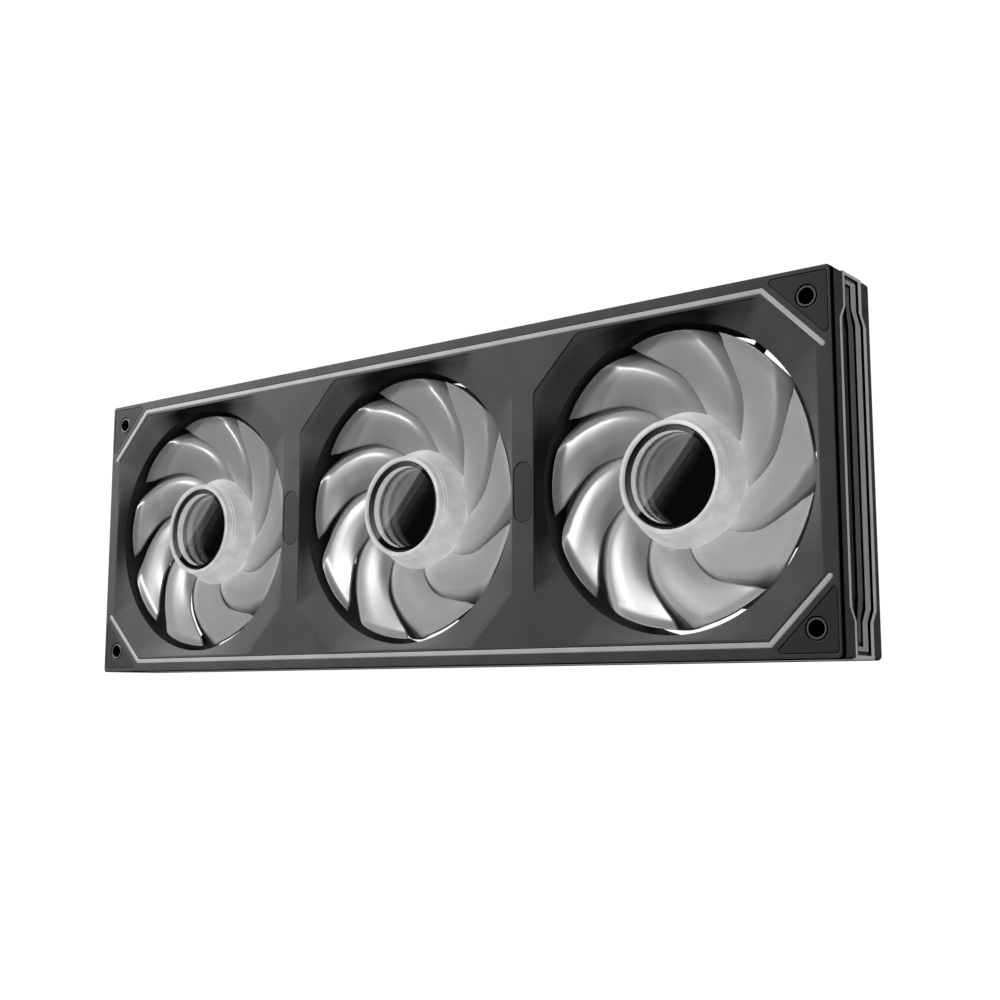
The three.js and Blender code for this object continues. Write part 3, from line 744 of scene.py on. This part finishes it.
def strut(shell, turn):
    """A bar with rounded edges from the cup to the duct wall, running beside the axis."""
    y0, y1 = STRUT_Y
    section = [
        (a, b)
        for cx, cy, start in ((1, 1, 0), (-1, 1, 90), (-1, -1, 180), (1, -1, 270))
        for a, b in arc(cx * (STRUT_HALF - 0.7), cy * ((y1 - y0) / 2 - 0.7), 0.7, start, start + 90, 3)
    ]
    start = math.sqrt((CUP_RADIUS - 0.5) ** 2 - STRUT_SIDEWAYS**2)
    end = DUCT_RADIUS + 0.4
    loops = []
    for r in (start, lerp(start, end, 0.5), end):
        verts = []
        for side, depth in section:
            sideways = STRUT_SIDEWAYS + side
            x = r * math.cos(turn) + sideways * math.sin(turn)
            z = -r * math.sin(turn) + sideways * math.cos(turn)
            verts.append(shell.mesh.verts.new(world(x, (y0 + y1) / 2 + depth, z)))
        loops.append(verts)
    shell.walls(loops)
    shell.mesh.faces.new(loops[0])
    shell.mesh.faces.new(loops[-1])


# ---------------------------------------------------------------- rotors

BLADES = 9
TIP_RADIUS, ROOT_RADIUS, FLANGE_RADIUS = 51, 21.8, 23.6
FIRST_TIP_ANGLE = 29
ROOT_SWEEP = 41
TIP_LIP = 0.8         # how far the tip's outer edge turns up towards the bezel
RADIAL_STEPS = 30
CHORD_STEPS = 40
EDGE_SHARE = 0.014    # share of the chord that rounds off each edge
SEGMENTS = 144


def blade_fall(outward, s):
    """How far the surface has sunk at s: slowly at first, with a steep step before the next blade."""
    step = (5 * smooth((s - 0.5) / 0.32) + 4 * s**6) * outward
    return 11 * (1 - 0.4 * outward) * max(s - 0.3, 0) ** 2 + 3 * (1 - outward) * s**7 + step


def blade_point(r, s):
    """Angle and depth of a blade's middle surface; s runs from the leading to the trailing edge."""
    outward = (r - ROOT_RADIUS) / (TIP_RADIUS - ROOT_RADIUS)
    chord = 54 - 5 * outward + 28 * outward * (1 - outward)
    hook = 3 * smooth((r - 34) / 9) - 2 * smooth((r - 46.5) / 4.5)
    angle = hook * (1 - s) - ROOT_SWEEP * (1 - outward) - chord * s
    front = 13.6 - 6.8 * (max(r - FLANGE_RADIUS, 0) / (TIP_RADIUS - FLANGE_RADIUS)) ** 0.7
    gap = 0.7 + 6.3 * outward**1.5
    nose = (blade_fall(outward, 40 / chord) - gap) * (1 - min(s / 0.25, 1)) ** 2.2
    lip = TIP_LIP * smooth((r - 47.4) / 3.6) ** 1.5
    return math.radians(angle), front + blade_fall(outward, s) + nose - lip


def rounding(distance, reach):
    """1 inside, falling to 0 like a quarter circle over the last stretch before an edge."""
    if distance >= reach:
        return 1
    return math.sqrt(max(1 - (1 - distance / reach) ** 2, 0))


def blade_stations():
    edge = [0, 0.05, 0.2, 0.45, 0.75]
    inner = [k / CHORD_STEPS for k in range(1, CHORD_STEPS)]
    start = [EDGE_SHARE * e for e in edge] + [EDGE_SHARE]
    clear = EDGE_SHARE * 1.3
    return start + [s for s in inner if clear < s < 1 - clear] + [1 - s for s in reversed(start)]


def blade(shell, tip_angle):
    radii = [lerp(ROOT_RADIUS, TIP_RADIUS - 0.5, k / RADIAL_STEPS) for k in range(RADIAL_STEPS + 1)]
    radii += [TIP_RADIUS - 0.5 * e for e in (0.6, 0.3, 0.1, 0.01)]
    loops = []
    along = shell.mesh.verts.layers.float["along"]
    for r in radii:
        front, back = [], []
        for s in blade_stations():
            angle, y = blade_point(r, s)
            angle0, y0 = blade_point(r, max(s - 0.01, 0))
            angle1, y1 = blade_point(r, min(s + 0.01, 1))
            run, rise = (angle1 - angle0) * r, y1 - y0
            half = (0.8 + 0.8 * math.sin(math.pi * s)) / 2
            half *= rounding(min(s, 1 - s), EDGE_SHARE) * rounding(TIP_RADIUS - r, 0.5)
            scale = half / math.hypot(run, rise)
            front.append((angle - rise * scale / r, y + run * scale, s))
            back.append((angle + rise * scale / r, y - run * scale, s))
        outline = front + back[-2:0:-1]
        turn = math.radians(tip_angle)
        loops.append([
            shell.mesh.verts.new(world(r * math.cos(a + turn), y, r * math.sin(a + turn)))
            for a, y, _ in outline
        ])
        for vert, (_, _, s) in zip(loops[-1], outline):
            vert[along] = s
    shell.walls(loops)
    count = len(blade_stations())
    for loop in (loops[0], loops[-1]):
        for i in range(count - 1):
            corners = [loop[i], loop[i + 1], loop[-i - 1], loop[-i] if i else None]
            shell.mesh.faces.new([v for k, v in enumerate(corners) if v and v not in corners[:k]])


def blades():
    shell = Shell()
    shell.mesh.verts.layers.float.new("along")
    for k in range(BLADES):
        blade(shell, FIRST_TIP_ANGLE + k * 360 / BLADES)
    return shell.finish("blades", [FROSTED_BLADE], 50)


def hub():
    """The frosted cup: a flat rim round the mirror pocket, two fine grooves and a flared side."""
    shell = Shell()
    profile = [(17.9, 1.6), (18.1, 1.4), (19.2, 1.4), (19.5, 1.55), (19.65, 1.9)]
    for y in (3.8, 5.2):
        r = 19.65 + 0.2 * (y - 1.9)
        profile += [(r, y - 0.3), (r - 0.3, y - 0.15), (r - 0.3, y + 0.15), (r + 0.06, y + 0.3)]
    for k in range(1, 11):
        t = k / 10
        profile.append((lerp(20.5, 23.4, t**1.3), lerp(5.7, 12.2, t)))
    profile += [(23.5, 12.45), (23.45, 12.75), (23.1, 13), (22.9, 24.2), (22.6, 24.5), (20.7, 24.5)]
    profile += [(20.7, 13.2), (19, 10.5), (19, 7.6), (3.6, 7.6), (3.6, 10), (1.8, 10), (1.8, 6.9)]
    rings = [shell.ring(r, y, SEGMENTS) for r, y in profile]
    floor = shell.ring(17.9, 5.6, SEGMENTS)
    shell.walls([floor, *rings])
    shell.cap([floor])
    shell.cap([rings[-1]])
    return shell.finish("hub", [FROSTED_HUB], 40)


def turned(name, profile, material):
    shell = Shell()
    shell.lathe(profile, SEGMENTS)
    return shell.finish(name, [material])


def ring_profile(inner, outer, low, high, edge):
    return [
        (inner, low + edge), (inner + edge, low), (outer - edge, low), (outer, low + edge),
        (outer, high - edge), (outer - edge, high), (inner + edge, high), (inner, high - edge),
    ]


def disc_profile(radius, low, high, edge):
    return [
        (0, low), (radius - edge, low), (radius, low + edge),
        (radius, high - edge), (radius - edge, high), (0, high),
    ]


INSERT_RADIUS, INSERT_BORE = 17.4, 15.85    # of the discs and rings in the hub's mirror pocket
INSERT_EDGE = 0.05


def rotors():
    outer, bore, edge = INSERT_RADIUS, INSERT_BORE, INSERT_EDGE
    inserts = [
        ("half_mirror", disc_profile(outer, 1.6, 2.2, edge), GLASS, "glass", "mirror_glass"),
        ("mask", ring_profile(bore, outer + 0.45, 2.3, 3.2, edge), MASK, "mask", "mask_ring"),
        ("ring_light", ring_profile(bore, outer, 3.3, 4.65, edge), LIT_BAND, "lit_band", "light_band"),
        ("back_mirror", disc_profile(outer, 4.75, 5.3, edge), MIRROR, "mirror", "rear_mirror"),
    ]
    shared = [("blades", blades(), "frosted", None), ("hub", hub(), "frosted", "rotor")]
    for name, profile, material, slot, node in inserts:
        shared.append((name, turned(name, profile, material), slot, node))
    for body, x in FANS.items():
        end = body.removeprefix("rotor_")
        for name, data, slot, node in shared:
            place(f"{name}_{end}", data, body, [f"{node}_{end}"] if node else (), x)


# ---------------------------------------------------------------- assembly

bezel()
inlays()
rotors()
MOTOR = {"magnet_ring": MAGNET, "shaft": STEEL, "bearing": BRONZE, "stator": STATOR, "motor_board": BOARD}
END_TRIMS = {"end_outer_trim": END_TRIM, "end_rib": RIB, "end_dark_strip": DARK_TRIM, "end_rail": RAIL}

for rotor, axis_x in FANS.items():
    fan = rotor.removeprefix("rotor_")
    housing(fan, axis_x)
    for node, material in MOTOR.items():
        finish_cad(f"{node}_{fan}", material, 0.08)
finish_cad("main_frame", FRAME, 0.2)
for node, material in END_TRIMS.items():
    finish_cad(node, material, 0.12)
for level in LEVELS:
    finish_cad(f"side_band_{level}", LIGHT_STRIP, 0.12)
finish_cad("cable_socket", SOCKET, 0.1)


# ---------------------------------------------------------------- stage, light and camera

CAMERA_AT = (0.35907, -0.41143, -0.01179)
CAMERA_AZIMUTH, CAMERA_ELEVATION = 37.94, -8.09
CAMERA_LENS = 50.18
FLOOR_Z, FLOOR_REACH = -0.3, 30
GLARE_EDGE = ((17.6, 23.1), (-22.4, -23.1))    # x and z of two points of its edge, as seen in a mirror
GLARE_WIDTH, GLARE_DISTANCE, GLARE_STRENGTH = 16, 0.4, 0.26


def aim(item, direction):
    item.rotation_mode = "QUATERNION"
    item.rotation_quaternion = Vector(direction).to_track_quat("-Z", "Y")


def light(name, kind, energy, direction, at=(0, 0, 0), **settings):
    data = bpy.data.lights.new(name, kind)
    data.energy = energy
    for key, value in settings.items():
        setattr(data, key, value)
    lamp = bpy.data.objects.new(name, data)
    lamp.location = at
    bpy.context.scene.collection.objects.link(lamp)
    aim(lamp, direction)
    return lamp


def camera():
    data = bpy.data.cameras.new("camera")
    data.lens = CAMERA_LENS
    data.clip_start, data.clip_end = 0.01, 100
    item = bpy.data.objects.new("camera", data)
    item.location = CAMERA_AT
    a, e = math.radians(CAMERA_AZIMUTH), math.radians(CAMERA_ELEVATION)
    aim(item, (-math.sin(a) * math.cos(e), math.cos(a) * math.cos(e), -math.sin(e)))
    bpy.context.scene.collection.objects.link(item)
    bpy.context.scene.camera = item


def floor():
    data = bpy.data.meshes.new("floor")
    reach = FLOOR_REACH
    corners = [(-reach, -reach), (reach, -reach), (reach, reach), (-reach, reach)]
    data.from_pydata([(x, y, FLOOR_Z) for x, y in corners], [], [(0, 1, 2, 3)])
    n = Nodes("floor")
    shade = n.grey(n.ramp(n.noise(400, 3), 0.965, 0.99))
    pale = n.add("ShaderNodeBsdfPrincipled", {
        "Base Color": shade, "Roughness": 0.8, "Emission Color": shade, "Emission Strength": 1.05})
    n.finish(pale.outputs[0])
    data.materials.append(n.material)
    item = bpy.data.objects.new("floor", data)
    item.visible_diffuse = False
    item.visible_glossy = False
    bpy.context.scene.collection.objects.link(item)
    item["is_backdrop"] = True


def glare_card(x):
    """A soft light panel that shows only in a hub's half mirror, with a straight slanting edge."""
    camera_at = Vector(CAMERA_AT) - world(0, 0, 0)
    line = [Vector((x + a, 0, z)) * MM for a, z in GLARE_EDGE]
    away = Vector((line[1].z - line[0].z, 0, line[0].x - line[1].x)).normalized()
    if away.x > 0:
        away = -away
    data = bpy.data.meshes.new("glare")
    corners = []
    for point in (line[0], line[1], line[1] + away * GLARE_WIDTH * MM, line[0] + away * GLARE_WIDTH * MM):
        ray = point - camera_at
        ray.y = -ray.y
        corners.append(world(0, 0, 0) + point + ray * GLARE_DISTANCE)
    data.from_pydata(corners, [], [(0, 1, 2, 3)])
    level = data.attributes.new("level", "FLOAT", "POINT")
    for i, value in enumerate((1, 1, 0, 0)):
        level.data[i].value = value
    n = Nodes("glare")
    level = n.add("ShaderNodeAttribute", attribute_name="level").outputs["Fac"]
    strength = n.add("ShaderNodeMath", {0: level, 1: GLARE_STRENGTH}, operation="MULTIPLY").outputs[0]
    n.finish(n.add("ShaderNodeEmission", {"Strength": strength}).outputs[0])
    data.materials.append(n.material)
    item = bpy.data.objects.new("glare", data)
    for ray_kind in ("camera", "diffuse", "transmission", "volume_scatter", "shadow"):    # all but glossy
        setattr(item, f"visible_{ray_kind}", False)
    bpy.context.scene.collection.objects.link(item)
    item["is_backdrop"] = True


def surroundings():
    """White behind the object, with dim soft light from all round and darkness in its reflections."""
    sky = bpy.data.worlds.new("sky")
    bpy.context.scene.world = sky
    sky.use_nodes = True
    tree = sky.node_tree
    tree.nodes.clear()
    output = tree.nodes.new("ShaderNodeOutputWorld")
    path = tree.nodes.new("ShaderNodeLightPath")
    last = None
    for ray, strength in ((None, 0.03), ("Is Glossy Ray", 0.004), ("Is Camera Ray", 1.05)):
        shade = tree.nodes.new("ShaderNodeBackground")
        shade.inputs["Color"].default_value = (1, 1, 1, 1)
        shade.inputs["Strength"].default_value = strength
        if ray:
            mix = tree.nodes.new("ShaderNodeMixShader")
            tree.links.new(path.outputs[ray], mix.inputs[0])
            tree.links.new(last, mix.inputs[1])
            tree.links.new(shade.outputs[0], mix.inputs[2])
            shade = mix
        last = shade.outputs[0]
    tree.links.new(last, output.inputs["Surface"])


camera()
floor()
surroundings()
for x in FANS.values():
    glare_card(x)
key = light("key", "SUN", 2.8, (0.87, 0.38, -0.32), angle=math.radians(1.2))
sheen = light("sheen", "SUN", 1.9, (0.373, 0.881, -0.288), angle=math.radians(8))
lift = light("lift", "AREA", 3.5, (-0.25, 0.6, 0.75), at=(0.35, -0.75, -0.9), size=0.3)
gradient = light("gradient", "AREA", 12.5, (0.55, 0.4, -0.7), at=(-0.39, -0.25, 0.52), size=0.15)
bar = light(
    "bar", "AREA", 1.1, (0, 0.5, -0.8), at=(-0.2, -0.16, 0.33), shape="RECTANGLE", size=0.5, size_y=0.05)
fill = light("fill", "AREA", 8.0, (0.4, 0.62, -0.67), at=(-0.54, -0.84, 0.92), size=0.25)
end = light("end", "AREA", 4.0, (-1, 0.2, -0.1), at=(1.2, -0.2, 0.3), size=0.8)
below = light("below", "AREA", 0.25, (0.2, -0.1, 1), at=(-0.3, 0.1, -1.0), size=0.8)
behind = light("behind", "AREA", 26.0, (0.2, -1, -0.4), at=(-0.3, 1.3, 0.6), size=1.0)

casting = bpy.data.collections.new("pieces that shade the rotors")
turning = bpy.data.collections.new("rotor pieces")
outside = bpy.data.collections.new("bezel and inlays")
chassis = bpy.data.collections.new("body")
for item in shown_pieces():
    if item.name.startswith(("blades", "bezel", "duct")):
        casting.objects.link(item)
    if item.name.startswith(("blades", "hub", "half_mirror", "mask_", "ring_light", "back_mirror")):
        turning.objects.link(item)
    elif item.name.startswith(("bezel", "strip", "oval", "front_rubber", "sleeve")):
        outside.objects.link(item)
    else:
        chassis.objects.link(item)
for receivers, lamps in (
    (turning, (key, sheen, fill, lift)), (outside, (gradient, bar)), (chassis, (end, below, behind)),
):
    for lamp in lamps:
        lamp.light_linking.receiver_collection = receivers
        lamp.visible_glossy = lamp == sheen
sheen.visible_diffuse = False
sheen.visible_transmission = False
for lamp in (key, sheen, fill, lift):
    lamp.light_linking.blocker_collection = casting
bpy.context.scene.view_settings.view_transform = "Standard"
